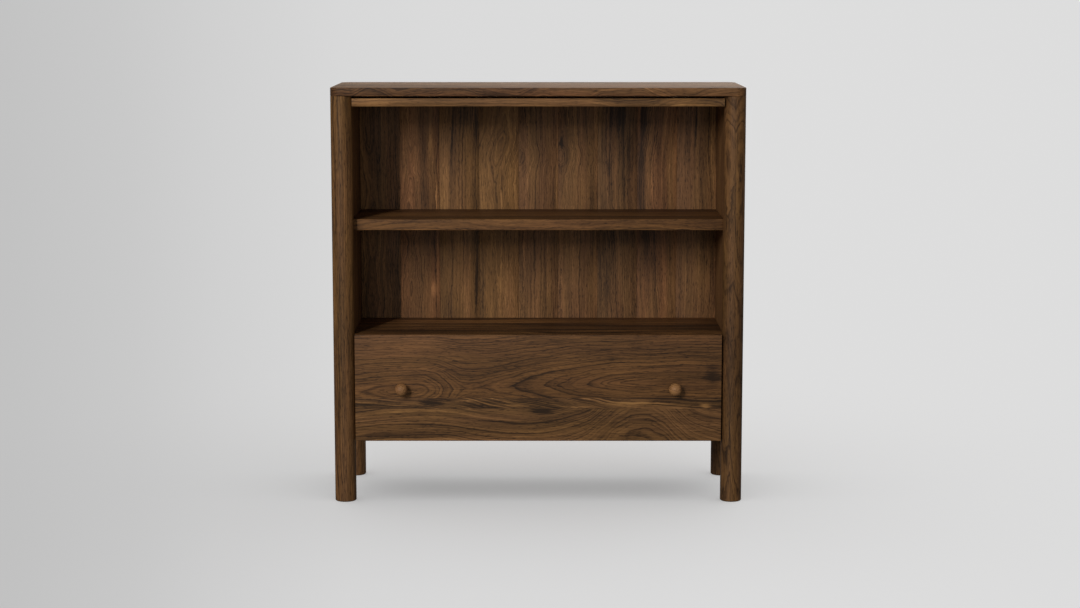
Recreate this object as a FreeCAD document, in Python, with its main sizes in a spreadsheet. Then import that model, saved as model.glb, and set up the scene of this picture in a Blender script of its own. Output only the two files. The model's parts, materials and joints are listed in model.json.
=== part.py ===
import FreeCAD, Part
import os
import re

import Sketcher

# Walnut bookcase: four round posts, a floating top slab, one open shelf and one wide drawer.
# Millimetres. +Z is up, +X is to the right of someone facing the front, and the front faces -Y.
# The origin is on the floor, in the middle of the width and of the depth over the knobs.

# Driving sizes. Heights are above the floor.
sizes = {
    # the whole
    "overall_width": 1000.0,
    "overall_height": 1013.0,
    "carcass_depth": 350.0,          # over the posts, without the knobs
    # posts
    "post_diameter": 52.0,
    "post_foot_chamfer": 2.0,
    "post_head_chamfer": 1.0,
    "post_proud": 4.0,               # the post stands this far inside the side panel's inner face
    "housing_wall": 8.0,             # from a post's axis to the floor of its housing for a side panel
    "scribe_play": 0.3,              # between a post and a board cut round it
    "nose_play": 1.0,                # between a front post and the end of the sub-top's nose
    # top slab
    "slab_thickness": 20.0,
    "slab_edge_round": 1.2,
    "slab_gap": 5.5,                 # shadow gap over the sub-top
    # carcass boards
    "side_thickness": 20.0,
    "side_underside": 156.0,
    "sub_top_thickness": 19.0,
    "nose_setback": 4.0,             # the sub-top's edge and the drawer's face, behind the posts' front
    "deck_top": 414.0,
    "deck_thickness": 20.0,
    "rail_height": 24.0,
    "rail_depth": 45.0,
    "rail_post_play": 4.0,           # the front rail starts this far behind where the posts end
    # shelf
    "shelf_top": 693.0,
    "shelf_thickness": 27.0,
    "shelf_post_play": 4.0,          # and so does the shelf
    "shelf_end_play": 1.0,
    "shelf_back_play": 1.0,
    "shelf_edge_round": 2.0,
    "pin_diameter": 6.0,
    "pin_in_side": 10.0,
    "pin_in_shelf": 12.0,
    "pin_inset": 40.0,               # from the shelf's front and back edges
    # back
    "back_post_play": 2.0,           # between the back boards and the rear posts
    "back_thickness": 12.0,
    "back_board_count": 9,
    "back_board_gap": 0.4,
    "tongue_reach": 6.0,
    "tongue_thickness": 4.0,
    "tongue_play": 0.3,
    # dowels
    "dowel_diameter": 8.0,
    "dowel_in_side": 12.0,
    "dowel_in_board": 20.0,
    "dowel_inset": 35.0,             # from a board's front and back edges
    "rail_dowel_inset": 12.0,
    "post_dowel_diameter": 10.0,
    "post_dowel_in_post": 25.0,
    "post_dowel_in_slab": 10.0,
    "hole_ease": 0.1,                # between a fastener and the wall of its hole
    # drawer
    "drawer_underside": 152.0,
    "drawer_above_deck": 1.0,        # how far the drawer front's top edge stands over the deck
    "drawer_front_thickness": 20.0,
    "drawer_end_play": 1.0,          # between the drawer front and a post
    "drawer_front_play": 1.5,        # between the drawer front and the deck behind it
    "drawer_edge_round": 1.2,
    "box_rail_play": 10.0,           # between the drawer box and the rails below it
    "box_deck_play": 16.0,           # and the deck above it
    "box_wall": 14.0,
    "box_back_play": 10.0,           # between the closed drawer and the back boards
    "finger_count": 8,               # notches and fingers along a drawer corner
    "bottom_thickness": 8.0,
    "bottom_lift": 10.0,             # from the underside of the drawer's walls to its bottom panel
    "bottom_groove": 6.0,
    # drawer slides
    "slide_thickness": 12.7,
    "slide_height": 45.0,
    "slide_front_play": 2.0,         # between a slide and the front post
    "slide_back_play": 4.3,          # between a slide and the back boards
    "slide_post_play": 1.0,          # between a moving slide and the front post that it passes
    "slide_metal": 1.2,
    "slide_play": 0.5,               # between two members
    "slide_screw_inset": 30.0,
    # knobs
    "knob_diameter": 31.0,
    "knob_length": 36.0,             # out from the drawer's face
    "knob_neck_diameter": 13.0,
    "knob_inset": 114.0,             # from the ends of the drawer front
    "knob_thread_play": 2.0,         # thread left beyond the screw's tip
    # spacers between the sub-top and the slab
    "spacer_diameter": 22.0,
    "spacer_inset": 60.0,            # from the edges of the sub-top
    # screws: shank diameter, reach into the last piece, head diameter and height
    "slab_screw_diameter": 4.0,
    "slab_screw_grip": 10.0,
    "slab_screw_head": 8.0,
    "slab_screw_head_height": 3.0,
    "back_screw_diameter": 3.5,
    "back_screw_grip": 22.0,
    "back_screw_head": 7.0,
    "back_screw_head_height": 2.5,
    "slide_screw_diameter": 3.5,
    "slide_screw_cover": 1.2,        # wood left between its tip and the inside of the drawer
    "slide_screw_head": 6.4,
    "slide_screw_head_height": 1.1,
    "front_screw_diameter": 4.0,
    "front_screw_grip": 12.0,
    "front_screw_head": 8.0,
    "front_screw_head_height": 3.0,
    "front_screw_inset": 30.0,       # from the inner corners of the drawer
    "knob_screw_diameter": 4.0,
    "knob_screw_grip": 12.0,
    "knob_screw_head": 8.0,
    "knob_screw_head_height": 2.5,
}

# Places and lengths worked out from the sizes: x is half of a width, y and z are in the frame above.
# post_reach is how far a post reaches, front to back, along the inner face of a side panel.
places = {
    "front_y": "(knob_length - nose_setback - carcass_depth) / 2",
    "rear_y": "front_y + carcass_depth",
    "post_radius": "post_diameter / 2",
    "post_x": "overall_width / 2 - post_radius",
    "post_front_y": "front_y + post_radius",
    "post_rear_y": "rear_y - post_radius",
    "slab_under": "overall_height - slab_thickness",
    "carcass_top": "slab_under - slab_gap",
    "sub_top_under": "carcass_top - sub_top_thickness",
    "side_in": "post_x - post_radius + post_proud",
    "side_out": "side_in + side_thickness",
    "post_reach": "sqrt(post_radius ^ 2 - (post_radius - post_proud) ^ 2)",
    "side_front_y": "post_front_y + housing_wall",
    "side_rear_y": "post_rear_y - housing_wall",
    "nose_y": "front_y + nose_setback",
    "back_out_y": "post_rear_y - post_reach - back_post_play",
    "back_in_y": "back_out_y - back_thickness",
    "back_pitch": "2 * side_in / back_board_count",
    "deck_under": "deck_top - deck_thickness",
    "drawer_back_y": "nose_y + drawer_front_thickness",
    "drawer_top": "deck_top + drawer_above_deck",
    "deck_front_y": "drawer_back_y + drawer_front_play",
    "shelf_under": "shelf_top - shelf_thickness",
    "shelf_half": "side_in - shelf_end_play",
    "shelf_front_y": "post_front_y + post_reach + shelf_post_play",
    "shelf_rear_y": "back_in_y - shelf_back_play",
    "pin_front_y": "shelf_front_y + pin_inset",
    "pin_rear_y": "shelf_rear_y - pin_inset",
    "pin_z": "shelf_under + pin_diameter / 2",
    "rail_top": "side_underside + rail_height",
    "rail_z": "side_underside + rail_height / 2",
    "front_rail_y": "post_front_y + post_reach + rail_post_play",
    "rear_rail_y": "back_in_y - rail_depth",
    "drawer_half": "post_x - post_radius - drawer_end_play",
    "packer_in": "post_x - post_radius - slide_post_play",
    "box_half": "packer_in - slide_thickness",
    "box_in": "box_half - box_wall",
    "box_underside": "rail_top + box_rail_play",
    "box_top": "deck_under - box_deck_play",
    "box_height": "box_top - box_underside",
    "box_in_front_y": "drawer_back_y + box_wall",
    "box_rear_y": "back_in_y - box_back_play",
    "box_in_rear_y": "box_rear_y - box_wall",
    "finger": "box_height / finger_count",
    "bottom_z": "box_underside + bottom_lift",
    "slide_front_y": "post_front_y + post_reach + slide_front_play",
    "slide_rear_y": "back_in_y - slide_back_play",
    "slide_length": "slide_rear_y - slide_front_y",
    "slide_z": "box_underside + box_height / 2",
    "slide_step": "slide_metal + slide_play",
    "knob_x": "drawer_half - knob_inset",
    "knob_height": "(drawer_underside + drawer_top) / 2",
    "knob_radius": "knob_diameter / 2",
    "knob_neck": "knob_neck_diameter / 2",
    "knob_centre": "knob_length - knob_radius",
    "knob_thread_depth": "knob_screw_grip + knob_thread_play",
    "slab_screw_length": "sub_top_thickness + slab_gap + slab_screw_grip",
    "back_screw_length": "back_thickness + back_screw_grip",
    "slide_screw_length": "slide_metal + box_wall - slide_screw_cover",
    "front_screw_length": "box_wall + front_screw_grip",
    "knob_screw_length": "knob_screw_head_height + box_wall + drawer_front_thickness + knob_screw_grip",
}

doc = FreeCAD.newDocument("bookcase")
sheet = doc.addObject("Spreadsheet::Sheet", "Sizes")
for row, (alias, number) in enumerate(sizes.items(), start=1):
    sheet.set("A%d" % row, alias)
    sheet.set("B%d" % row, str(number))
    sheet.setAlias("B%d" % row, alias)
doc.recompute()

parts = []          # the objects that are pieces of the bookcase, in order
cutters = []        # pairs of a feature that removes material and what it starts from


def formula(text):
    """An expression in which each size is its cell and each place is its own formula."""
    def swap(match):
        word = match.group(0)
        if word in places:
            return "(" + formula(places[word]) + ")"
        return "Sizes." + word if word in sizes else word
    return re.sub(r"[a-z][a-z_]*", swap, str(text))


def value(text):
    """What an expression comes to at the sizes in the sheet."""
    return float(sheet.evalExpression(formula(text)))


def bind(thing, prop, text):
    thing.setExpression(prop, formula(text))


def put(thing, x, y, z):
    bind(thing, "Placement.Base.x", x)
    bind(thing, "Placement.Base.y", y)
    bind(thing, "Placement.Base.z", z)


def keep(thing, name):
    """Name an object as one piece of the bookcase."""
    thing.Label = name
    parts.append(thing)
    return thing


def mirrored(sign, near, far):
    """The low and high x of something that lies from near to far of the middle, on one side."""
    return (near, far) if sign > 0 else ("-(%s)" % far, "-(%s)" % near)


# ---- primitives: boards, rods, screws and the holes for them

turns = {
    "+x": FreeCAD.Rotation(FreeCAD.Vector(0, 1, 0), 90),
    "-x": FreeCAD.Rotation(FreeCAD.Vector(0, 1, 0), -90),
    "+y": FreeCAD.Rotation(FreeCAD.Vector(1, 0, 0), -90),
    "-y": FreeCAD.Rotation(FreeCAD.Vector(1, 0, 0), 90),
    "+z": FreeCAD.Rotation(),
    "-z": FreeCAD.Rotation(FreeCAD.Vector(1, 0, 0), 180),
}


def block(x, y, z):
    """A box between the low and high places given for each axis."""
    box = doc.addObject("Part::Box", "block")
    for prop, (low, high) in (("Length", x), ("Width", y), ("Height", z)):
        bind(box, prop, "(%s) - (%s)" % (high, low))
    put(box, x[0], y[0], z[0])
    return box


def rod(spot, way, radius, length):
    """A cylinder that starts at a spot and runs along one axis."""
    cylinder = doc.addObject("Part::Cylinder", "rod")
    cylinder.Placement.Rotation = turns[way]
    bind(cylinder, "Radius", radius)
    bind(cylinder, "Height", length)
    put(cylinder, *spot)
    return cylinder


def united(pieces):
    fuse = doc.addObject("Part::MultiFuse", "united")
    fuse.Shapes = pieces
    return fuse


def group(name, pieces):
    """Identical small pieces that share one node as separate solids."""
    compound = doc.addObject("Part::Compound", name)
    compound.Links = pieces
    return keep(compound, name)


def cut(name, base, tools):
    """A piece with its holes and grooves taken out."""
    result = doc.addObject("Part::Cut", name)
    result.Base = base
    result.Tool = united(tools) if len(tools) > 1 else tools[0]
    cutters.append((result, base))
    return keep(result, name)


def screw(kind, spot, way, ease="0"):
    """A countersunk screw whose head starts at a spot; with some ease it is the hole for one."""
    shank_radius = "%s_diameter / 2 + %s" % (kind, ease)
    shank = rod(spot, way, shank_radius, "%s_length + %s" % (kind, ease))
    head = doc.addObject("Part::Cone", "head")
    head.Placement.Rotation = turns[way]
    bind(head, "Radius1", "%s_head / 2 + %s" % (kind, ease))
    bind(head, "Radius2", shank_radius)
    bind(head, "Height", "%s_head_height" % kind)
    put(head, *spot)
    return united([shank, head])


def screws(name, kind, spots, way):
    return group(name, [screw(kind, spot, way) for spot in spots])


def screw_holes(kind, spots, way):
    return [screw(kind, spot, way, "hole_ease") for spot in spots]


# ---- sketches and bodies

def new_body(name):
    return doc.addObject("PartDesign::Body", name)


def new_sketch(body, plane, offset="0"):
    """A sketch on one of the body's own planes, moved along that plane's normal."""
    sketch = body.newObject("Sketcher::SketchObject", body.Name + "_sketch")
    origin = [item for item in body.Origin.OriginFeatures if item.Role == plane][0]
    sketch.AttachmentSupport = [(origin, "")]
    sketch.MapMode = "FlatFace"
    bind(sketch, "AttachmentOffset.Base.z", offset)
    return sketch


def dimension(sketch, kind, geo, pos, text):
    """Hold a point at a signed distance from the sketch's origin."""
    number = value(text)
    if abs(number) < 1e-9:
        axis = -2 if kind == "DistanceX" else -1
        sketch.addConstraint(Sketcher.Constraint("PointOnObject", geo, pos, axis))
    elif number > 0:
        index = sketch.addConstraint(Sketcher.Constraint(kind, -1, 1, geo, pos, number))
        bind(sketch, "Constraints[%d]" % index, text)
    else:
        index = sketch.addConstraint(Sketcher.Constraint(kind, geo, pos, -1, 1, -number))
        bind(sketch, "Constraints[%d]" % index, "-(%s)" % text)


def polygon(sketch, corners):
    """A closed outline through corners given as pairs of formulas."""
    spots = [FreeCAD.Vector(value(x), value(y), 0) for x, y in corners]
    lines = [sketch.addGeometry(Part.LineSegment(spots[i - 1], spots[i]), False)
             for i in range(len(spots))]
    for i, line in enumerate(lines):
        sketch.addConstraint(Sketcher.Constraint("Coincident", line, 1, lines[i - 1], 2))
    for line, (x, y) in zip(lines, corners):
        dimension(sketch, "DistanceX", line, 2, x)
        dimension(sketch, "DistanceY", line, 2, y)


def rectangle(sketch, x, y):
    polygon(sketch, [(x[0], y[0]), (x[1], y[0]), (x[1], y[1]), (x[0], y[1])])


def circle(sketch, x, y, radius):
    geo = sketch.addGeometry(
        Part.Circle(FreeCAD.Vector(value(x), value(y), 0), FreeCAD.Vector(0, 0, 1), value(radius)), False)
    dimension(sketch, "DistanceX", geo, 3, x)
    dimension(sketch, "DistanceY", geo, 3, y)
    index = sketch.addConstraint(Sketcher.Constraint("Radius", geo, value(radius)))
    bind(sketch, "Constraints[%d]" % index, radius)


def pad(body, sketch, length):
    feature = body.newObject("PartDesign::Pad", body.Name + "_pad")
    feature.Profile = sketch
    bind(feature, "Length", length)
    return feature


def pocket(body, sketch, depth, reverse):
    """Cut a sketch into the body: against the sketch's normal, or along it when reversed."""
    base = body.Tip
    feature = body.newObject("PartDesign::Pocket", body.Name + "_pocket")
    feature.Profile = sketch
    feature.Reversed = reverse
    bind(feature, "Length", depth)
    cutters.append((feature, base))
    return feature


def edges_where(feature, test):
    """Names of the edges whose box passes a test."""
    doc.recompute()
    return ["Edge%d" % i for i, edge in enumerate(feature.Shape.Edges, start=1) if test(edge.BoundBox)]


def dressed(body, kind, prop, feature, edges, size):
    """Round (Fillet) or bevel (Chamfer) some edges."""
    dress = body.newObject("PartDesign::" + kind, body.Name + "_" + kind.lower())
    dress.Base = (feature, edges)
    bind(dress, prop, size)
    return dress


def close(a, b):
    return abs(a - b) < 1e-4


# ---- fixing points that two pieces share

board_dowel_ys = {
    "sub_top": ("nose_y + dowel_inset + post_diameter", "(front_y + back_in_y) / 2 + post_radius",
                "back_in_y - dowel_inset"),
    "deck": ("deck_front_y + dowel_inset", "(deck_front_y + back_in_y) / 2", "back_in_y - dowel_inset"),
}
dowel_rows = {
    "sub_top": [(y, "carcass_top - sub_top_thickness / 2") for y in board_dowel_ys["sub_top"]],
    "deck": [(y, "deck_top - deck_thickness / 2") for y in board_dowel_ys["deck"]],
    "rail": [(y, "rail_z") for y in (
        "front_rail_y + rail_dowel_inset", "front_rail_y + rail_depth - rail_dowel_inset",
        "rear_rail_y + rail_dowel_inset", "rear_rail_y + rail_depth - rail_dowel_inset")],
}
pin_spots = [("pin_front_y", "pin_z"), ("pin_rear_y", "pin_z")]
slide_screw_ys = ("slide_front_y + slide_screw_inset", "(slide_front_y + slide_rear_y) / 2",
                  "slide_rear_y - slide_screw_inset")
slab_screw_spots = [(x, y, "sub_top_under")
                    for x in ("-(side_in - spacer_inset)", "0", "side_in - spacer_inset")
                    for y in ("nose_y + spacer_inset", "back_in_y - spacer_inset")]
back_fixing_heights = {
    "sub_top": "carcass_top - sub_top_thickness / 2",
    "deck": "deck_top - deck_thickness / 2",
    "rail": "rail_z",
}
board_numbers = range(int(sizes["back_board_count"]))
post_corners = {
    "front_left": (-1, "post_front_y"),
    "front_right": (1, "post_front_y"),
    "rear_left": (-1, "post_rear_y"),
    "rear_right": (1, "post_rear_y"),
}


def back_screw_spots(height):
    return [("-side_in + back_pitch * (%d + 1 / 2)" % i, "back_out_y", height) for i in board_numbers]


def post_dowel_spots():
    return [("%d * post_x" % sign, y, "slab_under - post_dowel_in_post")
            for sign, y in post_corners.values()]


def dowel_holes(row, sign):
    """The holes for one row of dowels, through the seam between a side panel and a board."""
    start = "%d * (side_in - dowel_in_board - hole_ease)" % sign
    return [rod((start, y, z), "+x" if sign > 0 else "-x", "dowel_diameter / 2 + hole_ease",
                "dowel_in_board + dowel_in_side + 2 * hole_ease") for y, z in dowel_rows[row]]


def dowels(name, row):
    return group(name, [
        rod(("%d * (side_in - dowel_in_board)" % sign, y, z), "+x" if sign > 0 else "-x",
            "dowel_diameter / 2", "dowel_in_board + dowel_in_side")
        for sign in (-1, 1) for y, z in dowel_rows[row]])


def scribes(z_low, z_high):
    """Clearance round the four posts, for a board that reaches between them."""
    return [rod(("%d * post_x" % sign, y, z_low), "+z", "post_radius + scribe_play",
                "(%s) - (%s)" % (z_high, z_low)) for sign, y in post_corners.values()]


def nose_notches(z_low, z_high):
    """Square clearance before the front posts, for a board whose nose ends between them."""
    return [block(mirrored(sign, "post_x - post_radius - nose_play", "side_in"),
                  ("nose_y", "post_front_y"), (z_low, z_high)) for sign in (-1, 1)]


# ---- posts and top slab

def make_post(name, sign, axis_y):
    body = new_body("body_" + name)
    sketch = new_sketch(body, "XY_Plane")
    circle(sketch, "%d * post_x" % sign, axis_y, "post_radius")
    shaft = pad(body, sketch, "slab_under")
    feet = edges_where(shaft, lambda box: close(box.ZMax, 0))
    foot = dressed(body, "Chamfer", "Size", shaft, feet, "post_foot_chamfer")
    heads = edges_where(foot, lambda box: close(box.ZMin, value("slab_under")))
    dressed(body, "Chamfer", "Size", foot, heads, "post_head_chamfer")
    housing = new_sketch(body, "XY_Plane", "side_underside")
    toward_middle = 1 if axis_y == "post_front_y" else -1
    floor = "%s + %d * housing_wall" % (axis_y, toward_middle)
    mouth = "%s + %d * post_radius" % (axis_y, toward_middle)
    rectangle(housing, mirrored(sign, "side_in", "side_out"),
              (floor, mouth) if toward_middle > 0 else (mouth, floor))
    pocket(body, housing, "carcass_top - side_underside", True)
    hole = rod(("%d * post_x" % sign, axis_y, "slab_under - post_dowel_in_post - hole_ease"), "+z",
               "post_dowel_diameter / 2 + hole_ease", "post_dowel_in_post + hole_ease")
    return cut(name, body, [hole])


def make_slab():
    body = new_body("body_top_slab")
    sketch = new_sketch(body, "XY_Plane", "slab_under")
    rectangle(sketch, ("-overall_width / 2", "overall_width / 2"), ("front_y", "rear_y"))
    plate = pad(body, sketch, "slab_thickness")
    corners = edges_where(plate, lambda box: close(box.ZLength, value("slab_thickness")))
    rounded = dressed(body, "Fillet", "Radius", plate, corners, "post_radius")
    rims = edges_where(rounded, lambda box: close(box.ZLength, 0))
    dressed(body, "Fillet", "Radius", rounded, rims, "slab_edge_round")
    holes = [rod(spot, "+z", "post_dowel_diameter / 2 + hole_ease",
                 "post_dowel_in_post + post_dowel_in_slab + hole_ease") for spot in post_dowel_spots()]
    return cut("top_slab", body, holes + screw_holes("slab_screw", slab_screw_spots, "+z"))


make_slab()
for corner, (sign, axis_y) in post_corners.items():
    make_post("post_" + corner, sign, axis_y)
group("post_dowels", [rod(spot, "+z", "post_dowel_diameter / 2", "post_dowel_in_post + post_dowel_in_slab")
                      for spot in post_dowel_spots()])


# ---- carcass: side panels, sub-top, deck, lower rails

def make_side(name, sign):
    board = block(mirrored(sign, "side_in", "side_out"), ("side_front_y", "side_rear_y"),
                  ("side_underside", "carcass_top"))
    way = "+x" if sign > 0 else "-x"
    holes = [hole for row in dowel_rows for hole in dowel_holes(row, sign)]
    holes += [rod(("%d * side_in" % sign, y, z), way, "pin_diameter / 2 + hole_ease",
                  "pin_in_side + hole_ease") for y, z in pin_spots]
    holes += screw_holes("slide_screw", outer_screw_spots(sign), way)
    return cut(name, board, holes)


def outer_screw_spots(sign):
    return [("%d * (packer_in - slide_metal)" % sign, y, "slide_z") for y in slide_screw_ys]


def inner_screw_spots(sign):
    return [("%d * (box_half + slide_metal)" % sign, y, "slide_z") for y in slide_screw_ys]


def across(low_y, high_y, low_z, high_z):
    """A board from one side panel to the other."""
    return block(("-side_in", "side_in"), (low_y, high_y), (low_z, high_z))


def both_ends(row):
    return dowel_holes(row, -1) + dowel_holes(row, 1)


def back_holes(row):
    return screw_holes("back_screw", back_screw_spots(back_fixing_heights[row]), "-y")


for side, sign in (("left", -1), ("right", 1)):
    make_side("side_panel_" + side, sign)

cut("sub_top", across("nose_y", "back_in_y", "sub_top_under", "carcass_top"),
    scribes("sub_top_under", "carcass_top") + nose_notches("sub_top_under", "carcass_top")
    + both_ends("sub_top") + back_holes("sub_top") + screw_holes("slab_screw", slab_screw_spots, "+z"))
cut("deck", across("deck_front_y", "back_in_y", "deck_under", "deck_top"),
    scribes("deck_under", "deck_top") + both_ends("deck") + back_holes("deck"))
cut("lower_front_rail", across("front_rail_y", "front_rail_y + rail_depth", "side_underside", "rail_top"),
    both_ends("rail"))
cut("lower_rear_rail", across("rear_rail_y", "back_in_y", "side_underside", "rail_top"),
    both_ends("rail") + back_holes("rail"))
dowels("sub_top_dowels", "sub_top")
dowels("deck_dowels", "deck")
dowels("rail_dowels", "rail")


def make_spacer(x, y):
    disc = rod((x, y, "carcass_top"), "+z", "spacer_diameter / 2", "slab_gap")
    hole = rod((x, y, "carcass_top"), "+z", "slab_screw_diameter / 2 + hole_ease", "slab_gap")
    spacer = doc.addObject("Part::Cut", "spacer")
    spacer.Base = disc
    spacer.Tool = hole
    return spacer


group("slab_spacers", [make_spacer(x, y) for x, y, z in slab_screw_spots])
screws("slab_screws", "slab_screw", slab_screw_spots, "+z")


# ---- shelf on four hidden pins

def make_shelf():
    body = new_body("body_shelf")
    sketch = new_sketch(body, "XY_Plane", "shelf_under")
    rectangle(sketch, ("-shelf_half", "shelf_half"), ("shelf_front_y", "shelf_rear_y"))
    plate = pad(body, sketch, "shelf_thickness")
    front = value("shelf_front_y")
    nose = edges_where(plate, lambda box: close(box.YMin, front) and close(box.YMax, front)
                       and close(box.ZLength, 0))
    dressed(body, "Fillet", "Radius", plate, nose, "shelf_edge_round")
    half_groove = "(pin_diameter / 2 + hole_ease)"
    grooves = [block(mirrored(sign, "shelf_half - pin_in_shelf", "shelf_half"),
                     (y + " - " + half_groove, y + " + " + half_groove),
                     ("shelf_under", "shelf_under + pin_diameter"))
               for sign in (-1, 1) for y, z in pin_spots]
    return cut("shelf", body, grooves)


make_shelf()
group("shelf_pins", [rod(("%d * (side_in + pin_in_side)" % sign, y, z), "-x" if sign > 0 else "+x",
                         "pin_diameter / 2", "pin_in_side + shelf_end_play + pin_in_shelf - hole_ease")
                     for sign in (-1, 1) for y, z in pin_spots])


# ---- back: upright tongue-and-groove boards between the side panels

def make_back_board(i):
    """One board: a groove along its left edge and a tongue along its right, but for the outer two edges."""
    body = new_body("body_back_board_%d" % (i + 1))
    sketch = new_sketch(body, "XY_Plane", "side_underside")
    left = "-side_in + back_pitch * %d + back_board_gap / 2" % i
    right = "-side_in + back_pitch * %d - back_board_gap / 2" % (i + 1)
    middle = "back_in_y + back_thickness / 2"
    outline = [(left, "back_in_y"), (right, "back_in_y")]
    if i + 1 < len(board_numbers):
        tip = right + " + tongue_reach"
        low, high = middle + " - tongue_thickness / 2", middle + " + tongue_thickness / 2"
        outline += [(right, low), (tip, low), (tip, high), (right, high)]
    outline += [(right, "back_out_y"), (left, "back_out_y")]
    if i > 0:
        floor = left + " + tongue_reach + tongue_play - back_board_gap"
        low = middle + " - tongue_thickness / 2 - tongue_play"
        high = middle + " + tongue_thickness / 2 + tongue_play"
        outline += [(left, high), (floor, high), (floor, low), (left, low)]
    polygon(sketch, outline)
    pad(body, sketch, "carcass_top - side_underside")
    spots = [back_screw_spots(height)[i] for height in back_fixing_heights.values()]
    return cut("back_board_%d" % (i + 1), body, screw_holes("back_screw", spots, "-y"))


for i in board_numbers:
    make_back_board(i)
screws("back_screws", "back_screw",
       [spot for height in back_fixing_heights.values() for spot in back_screw_spots(height)], "-y")


# ---- drawer slides: an outer member packed out from the side panel, a middle one, and an inner one
# on the drawer

def channel(name, sign, web, lip, height, y_low):
    """A C-shaped strip: its web stands at x = web and its two flanges reach to x = lip."""
    body = new_body("body_" + name)
    sketch = new_sketch(body, "XZ_Plane", "-(%s + slide_length)" % y_low)
    inner = "%s - slide_metal" % web if value(web) > value(lip) else "%s + slide_metal" % web
    half = "(%s) / 2" % height
    outline = [(web, "slide_z - " + half), (lip, "slide_z - " + half),
               (lip, "slide_z - " + half + " + slide_metal"), (inner, "slide_z - " + half + " + slide_metal"),
               (inner, "slide_z + " + half + " - slide_metal"), (lip, "slide_z + " + half + " - slide_metal"),
               (lip, "slide_z + " + half), (web, "slide_z + " + half)]
    polygon(sketch, [("%d * (%s)" % (sign, x), z) for x, z in outline])
    pad(body, sketch, "slide_length")
    return body


middle_height = "slide_height - 2 * slide_step"
inner_height = "slide_height - 4 * slide_step"
middle_web = "packer_in - slide_step"
inner_lip = "packer_in - 2 * slide_step"
for side, sign in (("left", -1), ("right", 1)):
    way = "+x" if sign > 0 else "-x"
    back_way = "-x" if sign > 0 else "+x"
    packer = block(mirrored(sign, "packer_in", "side_in"), ("slide_front_y", "slide_rear_y"),
                   ("slide_z - slide_height / 2", "slide_z + slide_height / 2"))
    cut("slide_packer_" + side, packer, screw_holes("slide_screw", outer_screw_spots(sign), way))
    outer = channel("slide_outer_" + side, sign, "packer_in", "box_half + slide_step", "slide_height",
                    "slide_front_y")
    cut("slide_outer_" + side, outer, screw_holes("slide_screw", outer_screw_spots(sign), way))
    keep(channel("slide_middle_" + side, sign, middle_web, "box_half + slide_step", middle_height,
                 "slide_front_y"), "slide_middle_" + side)
    inner = channel("slide_inner_" + side, sign, "box_half", inner_lip, inner_height, "slide_front_y")
    cut("slide_inner_" + side, inner, screw_holes("slide_screw", inner_screw_spots(sign), back_way))
group("slide_outer_screws", [screw("slide_screw", spot, "+x" if sign > 0 else "-x")
                             for sign in (-1, 1) for spot in outer_screw_spots(sign)])
group("slide_inner_screws", [screw("slide_screw", spot, "-x" if sign > 0 else "+x")
                             for sign in (-1, 1) for spot in inner_screw_spots(sign)])


# ---- drawer: a finger-jointed box with an applied front and two turned knobs

front_screw_spots = [("%d * (box_in - front_screw_inset)" % sign, "box_in_front_y", z)
                     for sign in (-1, 1)
                     for z in ("bottom_z + bottom_thickness + front_screw_inset",
                               "box_top - front_screw_inset")]
knob_screw_spots = [("%d * knob_x" % sign, "box_in_front_y + knob_screw_head_height", "knob_height")
                    for sign in (-1, 1)]


def bottom_space():
    """The drawer's bottom panel, and so the groove for it in the four walls."""
    return block(("-(box_in + bottom_groove)", "box_in + bottom_groove"),
                 ("box_in_front_y - bottom_groove", "box_in_rear_y + bottom_groove"),
                 ("bottom_z", "bottom_z + bottom_thickness"))


def notches(x, y, first):
    """Every other finger of a corner, from the given one up."""
    return [block(x, y, ("box_underside + finger * %d" % k, "box_underside + finger * %d" % (k + 1)))
            for k in range(first, int(sizes["finger_count"]), 2)]


def make_drawer_side(name, sign):
    across_x = mirrored(sign, "box_in", "box_half")
    board = block(across_x, ("drawer_back_y", "box_rear_y"), ("box_underside", "box_top"))
    tools = notches(across_x, ("drawer_back_y", "box_in_front_y"), 1)
    tools += notches(across_x, ("box_in_rear_y", "box_rear_y"), 1)
    tools += screw_holes("slide_screw", inner_screw_spots(sign), "-x" if sign > 0 else "+x")
    return cut(name, board, tools + [bottom_space()])


def make_drawer_end(name, low_y, high_y, more):
    board = block(("-box_half", "box_half"), (low_y, high_y), ("box_underside", "box_top"))
    tools = [notch for sign in (-1, 1)
             for notch in notches(mirrored(sign, "box_in", "box_half"), (low_y, high_y), 0)]
    return cut(name, board, tools + [bottom_space()] + more)


def knob_bores():
    return [rod((x, "box_in_front_y", z), "-y", "knob_screw_diameter / 2 + hole_ease",
                "box_wall + drawer_front_thickness") for x, y, z in knob_screw_spots]


def make_drawer_front():
    body = new_body("body_drawer_front")
    sketch = new_sketch(body, "XZ_Plane", "-drawer_back_y")
    rectangle(sketch, ("-drawer_half", "drawer_half"), ("drawer_underside", "drawer_top"))
    panel = pad(body, sketch, "drawer_front_thickness")
    face = value("nose_y")
    rim = edges_where(panel, lambda box: close(box.YMin, face) and close(box.YMax, face))
    dressed(body, "Fillet", "Radius", panel, rim, "drawer_edge_round")
    return cut("drawer_front", body, knob_bores() + screw_holes("front_screw", front_screw_spots, "-y"))


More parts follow.
